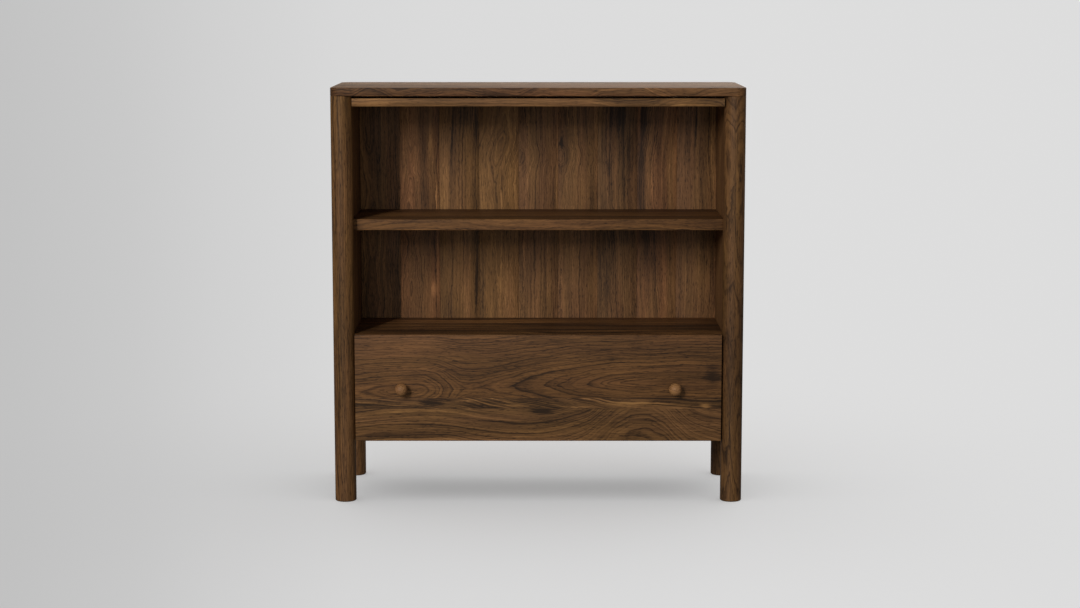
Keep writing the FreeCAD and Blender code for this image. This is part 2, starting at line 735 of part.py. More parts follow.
def make_knob(name, sign):
    """A ball on a short neck, turned in one piece, with a threaded hole in its foot."""
    body = new_body(name)
    sketch = new_sketch(body, "XY_Plane")
    bore, neck = value("knob_screw_diameter / 2"), value("knob_neck")
    centre, radius = value("knob_centre"), value("knob_radius")
    neck_top = centre - (radius ** 2 - neck ** 2) ** 0.5
    depth = value("knob_thread_depth")
    ring = Part.Circle(FreeCAD.Vector(0, centre, 0), FreeCAD.Vector(0, 0, 1), radius)
    start = ring.parameter(FreeCAD.Vector(neck, neck_top, 0))
    end = ring.parameter(FreeCAD.Vector(0, centre + radius, 0))
    if start > end:
        start -= ring.LastParameter
    corners = [(bore, 0), (neck, 0), (neck, neck_top)]
    after = [(0, centre + radius), (0, depth), (bore, depth), (bore, 0)]
    for (ax, ay), (bx, by) in zip(corners, corners[1:]):
        sketch.addGeometry(Part.LineSegment(FreeCAD.Vector(ax, ay, 0), FreeCAD.Vector(bx, by, 0)), False)
    sketch.addGeometry(Part.ArcOfCircle(ring, start, end), False)
    for (ax, ay), (bx, by) in zip(after, after[1:]):
        sketch.addGeometry(Part.LineSegment(FreeCAD.Vector(ax, ay, 0), FreeCAD.Vector(bx, by, 0)), False)
    last = sketch.GeometryCount
    for geo in range(last):
        sketch.addConstraint(Sketcher.Constraint("Coincident", geo, 2, (geo + 1) % last, 1))
    arc = 2
    dimension(sketch, "DistanceX", arc, 3, "0")
    dimension(sketch, "DistanceY", arc, 3, "knob_centre")
    index = sketch.addConstraint(Sketcher.Constraint("Radius", arc, radius))
    bind(sketch, "Constraints[%d]" % index, "knob_radius")
    dimension(sketch, "DistanceX", 0, 1, "knob_screw_diameter / 2")
    dimension(sketch, "DistanceY", 0, 1, "0")
    dimension(sketch, "DistanceX", 0, 2, "knob_neck")
    dimension(sketch, "DistanceY", 0, 2, "0")
    dimension(sketch, "DistanceX", 1, 2, "knob_neck")
    dimension(sketch, "DistanceX", 3, 1, "0")
    dimension(sketch, "DistanceX", 3, 2, "0")
    dimension(sketch, "DistanceY", 3, 2, "knob_thread_depth")
    dimension(sketch, "DistanceY", 4, 2, "knob_thread_depth")
    turned = body.newObject("PartDesign::Revolution", name + "_turned")
    turned.Profile = sketch
    turned.ReferenceAxis = (sketch, ["V_Axis"])
    turned.Angle = 360
    body.Placement.Rotation = FreeCAD.Rotation(FreeCAD.Vector(0, 0, 1), 180)
    put(body, "%d * knob_x" % sign, "nose_y", "knob_height")
    return keep(body, name)


def make_knob_screw(spot):
    """A pan-head machine screw from inside the drawer, through both fronts, into a knob."""
    x, y, z = spot
    head = rod((x, y, z), "-y", "knob_screw_head / 2", "knob_screw_head_height")
    shank = rod((x, y, z), "-y", "knob_screw_diameter / 2 - hole_ease", "knob_screw_length")
    return united([head, shank])


make_drawer_front()
make_drawer_end("drawer_box_front", "drawer_back_y", "box_in_front_y",
                knob_bores() + screw_holes("front_screw", front_screw_spots, "-y"))
make_drawer_end("drawer_box_back", "box_in_rear_y", "box_rear_y", [])
for side, sign in (("left", -1), ("right", 1)):
    make_drawer_side("drawer_side_" + side, sign)
    make_knob("knob_" + side, sign)
keep(bottom_space(), "drawer_bottom")
screws("front_screws", "front_screw", front_screw_spots, "-y")
group("knob_screws", [make_knob_screw(spot) for spot in knob_screw_spots])


# ---- check and write

doc.recompute()
failed = [thing.Label for thing in doc.Objects if {"Invalid", "Error"} & set(thing.State)]
if failed:
    raise RuntimeError("not built: " + ", ".join(failed))
for feature, base in cutters:
    if not feature.Shape.Volume < base.Shape.Volume - 1e-3:
        raise RuntimeError("cuts nothing: " + feature.Label)
for part in parts:
    if part.Shape.isNull() or not part.Shape.isValid():
        raise RuntimeError("no valid shape: " + part.Label)

os.makedirs("parts", exist_ok=True)
for part in parts:
    part.Shape.exportStep("parts/%s.step" % part.Label)
print("%d parts" % len(parts))
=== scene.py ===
import json
import math
from random import Random

import bmesh
import bpy
from mathutils import Matrix, Vector


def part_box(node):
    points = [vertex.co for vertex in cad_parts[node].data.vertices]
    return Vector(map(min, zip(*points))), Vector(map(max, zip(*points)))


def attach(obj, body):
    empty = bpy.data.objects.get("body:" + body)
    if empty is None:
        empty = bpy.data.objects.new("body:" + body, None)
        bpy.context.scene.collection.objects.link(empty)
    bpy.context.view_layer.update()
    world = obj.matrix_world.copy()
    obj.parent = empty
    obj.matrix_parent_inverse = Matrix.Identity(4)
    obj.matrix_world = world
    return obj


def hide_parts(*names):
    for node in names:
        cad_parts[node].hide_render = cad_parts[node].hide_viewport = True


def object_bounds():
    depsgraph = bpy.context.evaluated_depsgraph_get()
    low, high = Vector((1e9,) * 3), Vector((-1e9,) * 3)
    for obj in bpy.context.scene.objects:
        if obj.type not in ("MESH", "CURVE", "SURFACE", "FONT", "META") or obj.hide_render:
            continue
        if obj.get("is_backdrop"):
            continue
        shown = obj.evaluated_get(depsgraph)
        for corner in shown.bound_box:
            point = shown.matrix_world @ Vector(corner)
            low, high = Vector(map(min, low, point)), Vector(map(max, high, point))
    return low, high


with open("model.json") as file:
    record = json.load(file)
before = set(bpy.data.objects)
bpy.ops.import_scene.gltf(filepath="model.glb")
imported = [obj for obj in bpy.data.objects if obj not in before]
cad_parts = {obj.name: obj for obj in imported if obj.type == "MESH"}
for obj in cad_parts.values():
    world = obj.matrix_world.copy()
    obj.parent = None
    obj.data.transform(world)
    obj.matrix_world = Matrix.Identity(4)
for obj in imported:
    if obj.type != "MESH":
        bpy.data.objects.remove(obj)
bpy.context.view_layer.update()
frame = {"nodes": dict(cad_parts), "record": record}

# Walnut bookcase on four round posts: floating top slab, plank back, one shelf, one wide drawer.
# Metres, +Z up, the front faces -Y. The figure of the wood is worked out in millimetres.

millimetre = 0.001
onFace = 0.00002                 # metres within which a point counts as lying on a flat face
samePoint = 0.00001              # and within which two points are merged
shortestArris = 0.01             # metres, for the edges of a board that are eased
smoothAngle = math.radians(32)   # edges flatter than this are shaded round
usualNoise = (0.25, 0.75)        # between which most of a noise lies
shineNoise = (0.3, 0.7)          # and between which it takes the shine from one end to the other
xAxis, yAxis, zAxis = Vector((1, 0, 0)), Vector((0, 1, 0)), Vector((0, 0, 1))
nodes = frame["nodes"]


# camera and studio

view = {
    "place": (0.0043, -5.4187, 1.236),
    "tiltDegrees": 81.94,        # from looking straight down
    "lens": 73.05,               # on a 36 mm sensor
    "sight": 500,                # metres
}
studio = {
    "aim": (0.0, 0.0, 0.70),     # where the softboxes point
    "roomLight": 0.13,
    "backdrop": "#dadada",       # seen past the edge of the floor
    "floorGlow": 0.46,
    "floorRadius": 600.0,
    "falloffFrom": (0.0, 4.9, 2.0),  # metres to the side, in front and below, where the floor's tones, a painted light falloff, meet
    "overhead": 1.5,             # strength of the broad light that only the floor takes
    "overheadDegrees": 110,      # how wide that light is
}
# the paint of the floor, a painted light falloff that is darker to the left and fans out from that place:
# sine of the way round from straight ahead
floorFalloffTones = [(-0.27, "#bababa"), (-0.24, "#bdbdbd"), (-0.19, "#c3c3c3"), (-0.15, "#cacaca"),
              (-0.12, "#cecece"), (-0.09, "#d2d2d2"), (-0.05, "#d4d4d4"), (0.09, "#d7d7d7")]
# each softbox: degrees round from the front (left is negative) and up, distance, width, height, watts, colour
softboxes = {
    "keyStrip": (-21.8, 21.2, 9.0, 0.20, 3.2, 240.0, "#fff8f0"),
    "keySoftbox": (-28.3, 21.2, 9.0, 1.95, 3.2, 190.0, "#fff8f0"),
    "frontSoftbox": (6.0, 6.0, 8.0, 2.8, 2.6, 54.0, "#fffaf4"),
    "rearSoftbox": (165.0, 11.0, 7.0, 7.0, 3.0, 138.0, "#ffe8ce"),
    "highSoftbox": (150.0, 55.0, 6.0, 4.0, 3.0, 200.0, "#ffffff"),
}


def toLinear(hexColour):
    parts = [int(hexColour[i:i + 2], 16) / 255 for i in (1, 3, 5)]
    return tuple(c / 12.92 if c <= 0.04045 else ((c + 0.055) / 1.055) ** 2.4 for c in parts) + (1.0,)


# adds a node, sets its properties, and links or sets each of its inputs
def addNode(tree, kind, links=None, **settings):
    node = tree.nodes.new(kind)
    for name, setting in settings.items():
        setattr(node, name, setting)
    for key, source in (links or {}).items():
        if isinstance(source, bpy.types.NodeSocket):
            tree.links.new(source, node.inputs[key])
        else:
            node.inputs[key].default_value = source
    return node


def newTree(name):
    material = bpy.data.materials.new(name)
    material.use_nodes = True
    material.node_tree.nodes.clear()
    return material, material.node_tree


def setUpCamera():
    camera = bpy.data.objects.new("camera", bpy.data.cameras.new("camera"))
    camera.location = view["place"]
    camera.rotation_euler = (math.radians(view["tiltDegrees"]), 0, 0)
    camera.data.lens = view["lens"]
    camera.data.clip_end = view["sight"]
    bpy.context.scene.collection.objects.link(camera)
    bpy.context.scene.camera = camera


def setUpSoftbox(name, around, up, distance, width, height, watts, colour):
    light = bpy.data.lights.new(name, "AREA")
    light.shape, light.size, light.size_y = "RECTANGLE", width, height
    light.energy, light.color = watts, toLinear(colour)[:3]
    softbox = bpy.data.objects.new(name, light)
    around, up = math.radians(around), math.radians(up)
    away = Vector((math.sin(around) * math.cos(up), -math.cos(around) * math.cos(up), math.sin(up)))
    softbox.location = Vector(studio["aim"]) + away * distance
    softbox.rotation_euler = (-away).to_track_quat("-Z", "Y").to_euler()
    softbox.visible_camera = False
    bpy.context.scene.collection.objects.link(softbox)
    return softbox


# a broad light from straight above, for the soft shadow on the floor
def setUpOverhead():
    light = bpy.data.lights.new("overhead", "SUN")
    light.energy, light.angle = studio["overhead"], math.radians(studio["overheadDegrees"])
    overhead = bpy.data.objects.new("overhead", light)
    bpy.context.scene.collection.objects.link(overhead)
    return overhead


def setUpRoom():
    world = bpy.data.worlds.new("studio")
    world.use_nodes = True
    tree = world.node_tree
    tree.nodes.clear()
    path = addNode(tree, "ShaderNodeLightPath")
    seen = addNode(tree, "ShaderNodeBackground", {"Color": toLinear(studio["backdrop"])})
    dim = addNode(tree, "ShaderNodeBackground", {"Strength": studio["roomLight"], "Color": (1, 1, 1, 1)})
    mix = addNode(tree, "ShaderNodeMixShader", {
        0: path.outputs["Is Camera Ray"], 1: dim.outputs[0], 2: seen.outputs[0]})
    addNode(tree, "ShaderNodeOutputWorld", {"Surface": mix.outputs[0]})
    bpy.context.scene.world = world


# matt studio paint: no shine, a painted light falloff that darkens to the left, and a glow that is even
# towards the back
def makeStudioPaint():
    material, tree = newTree("mattStudioPaint")
    left, right = floorFalloffTones[0][0], floorFalloffTones[-1][0]
    where = addNode(tree, "ShaderNodeTexCoord")
    away = addNode(tree, "ShaderNodeVectorMath", {
        0: where.outputs["Object"], 1: studio["falloffFrom"]}, operation="ADD")
    way = addNode(tree, "ShaderNodeVectorMath", {0: away.outputs[0]}, operation="NORMALIZE")
    split = addNode(tree, "ShaderNodeSeparateXYZ", {0: way.outputs[0]})
    side = addNode(tree, "ShaderNodeMapRange", {
        "Value": split.outputs[0], "From Min": left, "From Max": right})
    shade = addNode(tree, "ShaderNodeValToRGB", {0: side.outputs[0]})
    ramp = shade.color_ramp
    ramp.elements[0].color, ramp.elements[1].color = toLinear(floorFalloffTones[0][1]), toLinear(floorFalloffTones[-1][1])
    for sine, colour in floorFalloffTones[1:-1]:
        ramp.elements.new((sine - left) / (right - left)).color = toLinear(colour)
    paint = addNode(tree, "ShaderNodeBsdfPrincipled", {
        "Base Color": shade.outputs[0], "Roughness": 0.9, "Specular IOR Level": 0.0,
        "Emission Color": shade.outputs[0], "Emission Strength": studio["floorGlow"]})
    addNode(tree, "ShaderNodeOutputMaterial", {"Surface": paint.outputs[0]})
    return material


def setUpFloor():
    shape = bmesh.new()
    bmesh.ops.create_circle(shape, cap_ends=True, segments=96, radius=studio["floorRadius"])
    mesh = bpy.data.meshes.new("studioFloor")
    shape.to_mesh(mesh)
    shape.free()
    mesh.materials.append(makeStudioPaint())
    floor = bpy.data.objects.new("studioFloor", mesh)
    bpy.context.scene.collection.objects.link(floor)
    floor.visible_diffuse = False
    floor.visible_glossy = False
    floor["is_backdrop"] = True
    return floor


setUpCamera()
setUpRoom()
studioFloor = setUpFloor()
floorOnly = bpy.data.collections.new("floorOnly")
floorOnly.objects.link(studioFloor)
allButFloor = bpy.data.collections.new("allButFloor")
allButFloor.objects.link(studioFloor)
allButFloor.collection_objects[0].light_linking.link_state = "EXCLUDE"
for name, settings in softboxes.items():
    setUpSoftbox(name, *settings).light_linking.receiver_collection = allButFloor
setUpOverhead().light_linking.receiver_collection = floorOnly
bpy.context.scene.view_settings.view_transform = "Standard"
print("studio: camera, %d softboxes and the floor" % len(softboxes))


# woods

# the tints of a wood's golden and rosy places, which differ from tree to tree
hues = {
    "golden": ("#ffffe8", "#fffcf2"),
    "amber": ("#fff8de", "#fff5e4"),
    "brown": ("#fffff1", "#fff9f6"),
    "red": ("#fffcf0", "#fff2ee"),
    "grey": ("#fefff5", "#fffaf7"),
}
# Oiled black walnut, planed and sanded: a dark brown from golden to faintly rosy, streaked along the
# growth rings, with thin dark lines where rings end, open pores as short dark dashes, and hardly any shine.
walnut = {
    "tones": [(0.0, "#2f2015"), (0.25, "#4d3623"), (0.5, "#6a4c31"), (0.75, "#825e3d"), (1.0, "#a0774f")],
    "hue": "brown",
    "tone": 0.50,                # where a board lies on the scale of tones
    "ringWidth": 6.0,            # mm between dark lines; real rings of 2 to 4 mm are drawn coarser to show
    "lineShare": 0.55,           # of a ring, which its line takes up
    "lineChance": (0.38, 0.64),  # the noise between which a line comes up from nothing to full strength
    "lineDepth": 0.45,           # how strongly the lines show in the tone, and so on for the next four
    "bandDepth": 1.25,
    "cloudDepth": 0.55,
    "fibreDepth": 1.10,
    "poreDepth": 0.30,
    "bandSize": (8.0, 700.0),    # mm across the rings and along the grain
    "cloudSize": (60.0, 380.0),
    "fibreSize": (2.4, 80.0),    # real fibres are a tenth of this wide, and wouldn't show
    "poreSize": (2.0, 14.0),     # real pores are 0.2 mm wide, drawn coarser to show
    "patchSize": (30.0, 380.0),  # of the golden and rosy places
    "bandAcross": 200.0,         # mm across the board, over which the bands of a ring change
    "poreChance": (0.58, 0.72),  # the noise between which a pore comes up
    "patchChance": (0.38, 0.62),  # and between which golden turns to rosy
    "weather": (40.0, 4.0),      # mm over which good and bad years change, and how many rings they shift
    "bend": (6.0, 80.0, 460.0),  # mm that the rings wander slowly, and how far apart, across and along
    "ripple": (1.1, 10.0, 30.0),
    "sway": (0.0, 30.0, 420.0),  # mm of the rings' centre across the board: middle, reach, wavelength
    "rise": (60.0, 35.0, 560.0),  # and the same behind the middle of its thickness
    "pointed": 0.0,              # how sharp the arches' tips are
    "archReach": 900.0,          # mm to each side of the centre, over which arches fade to straight grain
    "staveWidth": 0.0,           # mm, for a board glued from staves
    "staveShift": 0.0,           # mm from the middle of the board to a glue line
    "staveTone": 0.12,           # how far the staves' tones differ
    "staveJump": (60.0, 25.0, 1900.0),  # mm in the log from which a stave may come
    "roughness": (0.50, 0.62),
    "gloss": 0.20,
    "bump": 0.14,
    "relief": 0.3,               # mm
}
# Steamed beech, turned: pale, even and close-grained, with short brown flecks from its rays.
beech = {
    **walnut,
    "tones": [(0.0, "#a5825a"), (0.5, "#c6a478"), (1.0, "#dcc09a")],
    "ringWidth": 3.0,
    "lineDepth": 0.15,
    "bandDepth": 0.50,
    "cloudDepth": 0.30,
    "fibreDepth": 0.50,
    "poreDepth": 0.40,
    "poreSize": (0.8, 3.0),
    "bend": (1.0, 20.0, 60.0),
    "ripple": (0.2, 5.0, 20.0),
}
# each layer of the figure is a noise: its detail and roughness
layerNoise = {
    "band": (5.0, 0.70),
    "cloud": (2.0, 0.50),
    "fibre": (3.0, 0.65),
    "pore": (1.0, 0.50),
    "patch": (2.0, 0.50),
}
# the dark line of a ring: how far before its end, as a share of the line, and how dark
lineProfile = [(1.0, 0.0), (0.36, 0.7), (0.18, 1.0), (0.05, 0.2)]
markFray = 1.8                   # how ragged the edge of a mark is
markFade = (0.9, 1.9)            # the frayed distance over which a mark fades out


# mm from the middle of a board: x across it, y through its thickness, z along its grain
def boardSpace(tree, low, high, along, depth):
    turn = Matrix((depth.cross(along), depth, along)).transposed().to_euler()
    where = addNode(tree, "ShaderNodeTexCoord")
    return addNode(tree, "ShaderNodeMapping", {
        "Vector": where.outputs["Object"], "Location": (low + high) / 2, "Rotation": turn,
        "Scale": (millimetre,) * 3}, vector_type="TEXTURE").outputs[0]


# each stave comes from another part of the log, and has its own shade; they are counted from 50, so that
# no number is below 0
def glueStaves(tree, place, look, seed):
    split = addNode(tree, "ShaderNodeSeparateXYZ", {0: place})
    count = addNode(tree, "ShaderNodeMath", {
        0: split.outputs[0], 1: 1 / look["staveWidth"],
        2: 50.0 - look["staveShift"] / look["staveWidth"]}, operation="MULTIPLY_ADD")
    stave = addNode(tree, "ShaderNodeMath", {0: count.outputs[0]}, operation="FLOOR")
    number = addNode(tree, "ShaderNodeMath", {0: stave.outputs[0], 1: seed + 0.37}, operation="ADD")
    pick = addNode(tree, "ShaderNodeTexWhiteNoise", {"W": number.outputs[0]}, noise_dimensions="1D")
    jump = addNode(tree, "ShaderNodeVectorMath", {
        0: pick.outputs["Color"], 1: look["staveJump"], 2: place}, operation="MULTIPLY_ADD")
    shade = addNode(tree, "ShaderNodeMapRange", {
        "Value": pick.outputs["Value"], "To Min": -look["staveTone"], "To Max": look["staveTone"]})
    return jump.outputs[0], shade.outputs[0]


# slow bends and small ripples that move the growth rings off true circles
def warp(tree, point, look, dice):
    moved = (0.0, 0.0, 0.0)
    for (reach, wide, long), detail in ((look["bend"], 1.0), (look["ripple"], 2.0)):
        spread = addNode(tree, "ShaderNodeVectorMath", {
            0: point, 1: (1 / wide, 1 / wide, 1 / long), 2: (dice.uniform(0, 50),) * 3},
            operation="MULTIPLY_ADD")
        noise = addNode(tree, "ShaderNodeTexNoise", {
            "Vector": spread.outputs[0], "Scale": 1.0, "Detail": detail})
        shift = addNode(tree, "ShaderNodeVectorMath", {
            0: noise.outputs["Color"], 1: (0.5, 0.5, 0.5)}, operation="SUBTRACT")
        gain = reach / (0.5 - usualNoise[0])
        moved = addNode(tree, "ShaderNodeVectorMath", {
            0: shift.outputs[0], 1: (gain, gain, 0.0), 2: moved},
            operation="MULTIPLY_ADD").outputs[0]
    return moved


# a length in mm that changes along the board, by chance or along a drawn curve
def wander(tree, along, plan, seed, half):
    if isinstance(plan, dict):
        place = addNode(tree, "ShaderNodeMapRange", {"Value": along, "From Min": -half, "From Max": half})
        drawn = addNode(tree, "ShaderNodeFloatCurve", {"Value": place.outputs[0]})
        curve = drawn.mapping.curves[0]
        low, high = plan["range"]
        points = [((x + half) / (2 * half), (y - low) / (high - low)) for x, y in plan["points"]]
        curve.points[0].location, curve.points[1].location = points[0], points[-1]
        for point in points[1:-1]:
            curve.points.new(*point)
        drawn.mapping.update()
        return addNode(tree, "ShaderNodeMapRange", {
            "Value": drawn.outputs[0], "To Min": low, "To Max": high}).outputs[0]
    middle, reach, length = plan
    place = addNode(tree, "ShaderNodeMath", {0: along, 1: 1 / length, 2: seed}, operation="MULTIPLY_ADD")
    wave = addNode(tree, "ShaderNodeTexNoise", {"W": place.outputs[0], "Scale": 1.0, "Detail": 1.5},
                   noise_dimensions="1D")
    return addNode(tree, "ShaderNodeMapRange", {
        "Value": wave.outputs[0], "From Min": usualNoise[0], "From Max": usualNoise[1],
        "To Min": middle - reach, "To Max": middle + reach}, clamp=False).outputs[0]


# rings round a centre line that wanders behind the face, so that the face cuts them into arches
def ringRadius(tree, moved, along, look, dice, half):
    sway = wander(tree, along, look["sway"], dice.uniform(0, 90), half)
    rise = wander(tree, along, look["rise"], dice.uniform(0, 90), half)
    split = addNode(tree, "ShaderNodeSeparateXYZ", {0: moved})
    across = addNode(tree, "ShaderNodeMath", {0: split.outputs[0], 1: sway}, operation="SUBTRACT")
    aside = addNode(tree, "ShaderNodeMath", {0: across.outputs[0]}, operation="ABSOLUTE")
    behind = addNode(tree, "ShaderNodeMath", {0: rise, 1: split.outputs[1]}, operation="SUBTRACT")
    deeper = addNode(tree, "ShaderNodeMath", {
        0: aside.outputs[0], 1: look["pointed"], 2: behind.outputs[0]}, operation="MULTIPLY_ADD")
    fade = addNode(tree, "ShaderNodeMapRange", {
        "Value": aside.outputs[0], "From Max": look["archReach"], "To Min": 1.0, "To Max": 0.0},
        interpolation_type="SMOOTHSTEP")
    deep = addNode(tree, "ShaderNodeMath", {0: deeper.outputs[0], 1: fade.outputs[0]}, operation="MULTIPLY")
    away = addNode(tree, "ShaderNodeCombineXYZ", {0: across.outputs[0], 1: deep.outputs[0]})
    return addNode(tree, "ShaderNodeVectorMath", {0: away.outputs[0]}, operation="LENGTH").outputs["Value"]


# the dark line that ends each ring; the seasons differ, and so do the lines' strengths
def ringLines(tree, radius, chance, look, dice):
    span, reach = look["weather"]
    years = addNode(tree, "ShaderNodeMath", {0: radius, 1: 1 / span, 2: dice.uniform(0, 90)},
                    operation="MULTIPLY_ADD")
    weather = addNode(tree, "ShaderNodeTexNoise", {"W": years.outputs[0], "Scale": 1.0, "Detail": 2.0},
                      noise_dimensions="1D")
    uneven = addNode(tree, "ShaderNodeMath", {0: weather.outputs[0], 1: reach}, operation="MULTIPLY")
    count = addNode(tree, "ShaderNodeMath", {
        0: radius, 1: 1 / look["ringWidth"], 2: uneven.outputs[0]}, operation="MULTIPLY_ADD")
    season = addNode(tree, "ShaderNodeMath", {0: count.outputs[0]}, operation="FRACT")
    line = addNode(tree, "ShaderNodeValToRGB", {0: season.outputs[0]})
    ramp = line.color_ramp
    ramp.elements[0].color, ramp.elements[1].color = (0, 0, 0, 1), (0, 0, 0, 1)
    for position, grey in lineProfile:
        ramp.elements.new(1 - look["lineShare"] * position).color = (grey, grey, grey, 1)
    strength = addNode(tree, "ShaderNodeMapRange", {
        "Value": chance, "From Min": look["lineChance"][0], "From Max": look["lineChance"][1]})
    return addNode(tree, "ShaderNodeMath", {
        0: line.outputs[0], 1: strength.outputs[0]}, operation="MULTIPLY").outputs[0]


# darker or lighter places with frayed ends, most of them in the grain and a few painted highlights: mm across
# and along from the middle, width, length, strength
def addMarks(tree, tone, place, fray, marks):
    for across, along, wide, long, change in marks:
        away = addNode(tree, "ShaderNodeVectorMath", {
            0: place, 1: (1 / wide, 0.0, 1 / long), 2: (-across / wide, 0.0, -along / long)},
            operation="MULTIPLY_ADD")
        distance = addNode(tree, "ShaderNodeVectorMath", {0: away.outputs[0]}, operation="LENGTH")
        frayed = addNode(tree, "ShaderNodeMath", {
            0: fray, 1: markFray, 2: distance.outputs["Value"]}, operation="MULTIPLY_ADD")
        mark = addNode(tree, "ShaderNodeMapRange", {
            "Value": frayed.outputs[0], "From Min": markFade[0], "From Max": markFade[1],
            "To Min": change, "To Max": 0.0}, interpolation_type="SMOOTHSTEP")
        tone = addNode(tree, "ShaderNodeMath", {0: tone, 1: mark.outputs[0]}, operation="ADD").outputs[0]
    return tone


# a noise for each layer, drawn out along the grain
def figureLayers(tree, sources, look, dice):
    layers = {}
    for layer, source in sources.items():
        detail, roughness = layerNoise[layer]
        wide, long = look[layer + "Size"]
        through = look["bandAcross"] if layer == "band" else wide
        spread = addNode(tree, "ShaderNodeVectorMath", {
            0: source, 1: (1 / wide, 1 / through, 1 / long), 2: (dice.uniform(0, 50),) * 3},
            operation="MULTIPLY_ADD")
        layers[layer] = addNode(tree, "ShaderNodeTexNoise", {
            "Vector": spread.outputs[0], "Scale": 1.0, "Detail": detail, "Roughness": roughness})
    return layers


# lines, pores and layers together as one tone
def woodTone(tree, layers, lines, pores, look):
    coarse = addNode(tree, "ShaderNodeCombineXYZ", {
        0: lines, 1: layers["band"].outputs[0], 2: layers["cloud"].outputs[0]})
    coarseTone = addNode(tree, "ShaderNodeVectorMath", {
        0: coarse.outputs[0], 1: (-look["lineDepth"], look["bandDepth"], look["cloudDepth"])},
        operation="DOT_PRODUCT")
    fine = addNode(tree, "ShaderNodeCombineXYZ", {0: layers["fibre"].outputs[0], 1: pores, 2: 1.0})
    middle = look["tone"] - (look["bandDepth"] + look["cloudDepth"] + look["fibreDepth"]) / 2
    fineTone = addNode(tree, "ShaderNodeVectorMath", {
        0: fine.outputs[0], 1: (look["fibreDepth"], -look["poreDepth"], middle)}, operation="DOT_PRODUCT")
    return addNode(tree, "ShaderNodeMath", {
        0: coarseTone.outputs["Value"], 1: fineTone.outputs["Value"]}, operation="ADD").outputs[0]


# the colour of a tone, tinted in golden and rosy places
def woodColour(tree, tone, patchNoise, look):
    colours = addNode(tree, "ShaderNodeValToRGB", {0: tone})
    ramp, tones = colours.color_ramp, look["tones"]
    ramp.elements[0].color, ramp.elements[1].color = toLinear(tones[0][1]), toLinear(tones[-1][1])
    for position, colour in tones[1:-1]:
        ramp.elements.new(position).color = toLinear(colour)
    patch = addNode(tree, "ShaderNodeMapRange", {
        "Value": patchNoise, "From Min": look["patchChance"][0], "From Max": look["patchChance"][1]})
    golden, rosy = hues[look["hue"]]
    tint = addNode(tree, "ShaderNodeMix", {
        "Factor": patch.outputs[0], 6: toLinear(golden), 7: toLinear(rosy)}, data_type="RGBA")
    return addNode(tree, "ShaderNodeMix", {
        "Factor": 1.0, 6: colours.outputs[0], 7: tint.outputs[2]},
        data_type="RGBA", blend_type="MULTIPLY").outputs[2]


# a thin coat of oil: the raised fibres shine a little more than the pores between them
def oilWood(tree, colour, fibre, pores, look):
    shine = addNode(tree, "ShaderNodeMapRange", {
        "Value": fibre, "From Min": shineNoise[0], "From Max": shineNoise[1],
        "To Min": look["roughness"][1], "To Max": look["roughness"][0]})
    relief = addNode(tree, "ShaderNodeMath", {0: fibre, 1: pores}, operation="SUBTRACT")
    bump = addNode(tree, "ShaderNodeBump", {
        "Strength": look["bump"], "Distance": look["relief"] * millimetre, "Height": relief.outputs[0]})
    surface = addNode(tree, "ShaderNodeBsdfPrincipled", {
        "Base Color": colour, "Roughness": shine.outputs[0], "IOR": 1.5,
        "Specular IOR Level": look["gloss"], "Normal": bump.outputs[0]})
    addNode(tree, "ShaderNodeOutputMaterial", {"Surface": surface.outputs[0]})


# wood for one board between two corners, with its grain along one axis and its thickness on another
def makeWood(name, wood, low, high, along, depth, seed, marks=(), **changes):
    look = {**wood, **changes}
    dice = Random(seed)
    material, tree = newTree(name)
    low, high = Vector(low), Vector(high)
    half = abs((high - low).dot(along)) / 2 / millimetre
    place = boardSpace(tree, low, high, along, depth)
    point, staveShade = glueStaves(tree, place, look, seed) if look["staveWidth"] else (place, 0.0)
    offset = warp(tree, point, look, dice)
    moved = addNode(tree, "ShaderNodeVectorMath", {0: point, 1: offset}, operation="ADD").outputs[0]
    split = addNode(tree, "ShaderNodeSeparateXYZ", {0: point})
    radius = ringRadius(tree, moved, split.outputs[2], look, dice, half)
    ringed = addNode(tree, "ShaderNodeCombineXYZ", {0: radius, 1: split.outputs[0], 2: split.outputs[2]})
    layers = figureLayers(tree, {
        "band": ringed.outputs[0], "cloud": moved, "fibre": moved, "pore": point, "patch": point}, look, dice)
    chance = addNode(tree, "ShaderNodeSeparateColor", {0: layers["band"].outputs["Color"]})
    lines = ringLines(tree, radius, chance.outputs[1], look, dice)
    pores = addNode(tree, "ShaderNodeMapRange", {
        "Value": layers["pore"].outputs[0],
        "From Min": look["poreChance"][0], "From Max": look["poreChance"][1]}).outputs[0]
    tone = woodTone(tree, layers, lines, pores, look)
    marked = addNode(tree, "ShaderNodeVectorMath", {0: place, 1: offset}, operation="ADD")
    tone = addMarks(tree, tone, marked.outputs[0], layers["band"].outputs[0], marks)
    tone = addNode(tree, "ShaderNodeMath", {0: tone, 1: staveShade}, operation="ADD").outputs[0]
    colour = woodColour(tree, tone, layers["patch"].outputs[0], look)
    oilWood(tree, colour, layers["fibre"].outputs[0], pores, look)
    return material


# zinc-plated steel, rolled or turned: pale cool grey metal, its gloss drawn out in fine lines
steels = {
    "slide": {"colours": ("#a4a7aa", "#b9bcc0"), "roughness": (0.26, 0.44), "lines": (2000.0, 12.0, 2000.0)},
    "screw": {"colours": ("#9da0a4", "#b9bcc0"), "roughness": (0.22, 0.40), "lines": (900.0, 900.0, 900.0)},
}


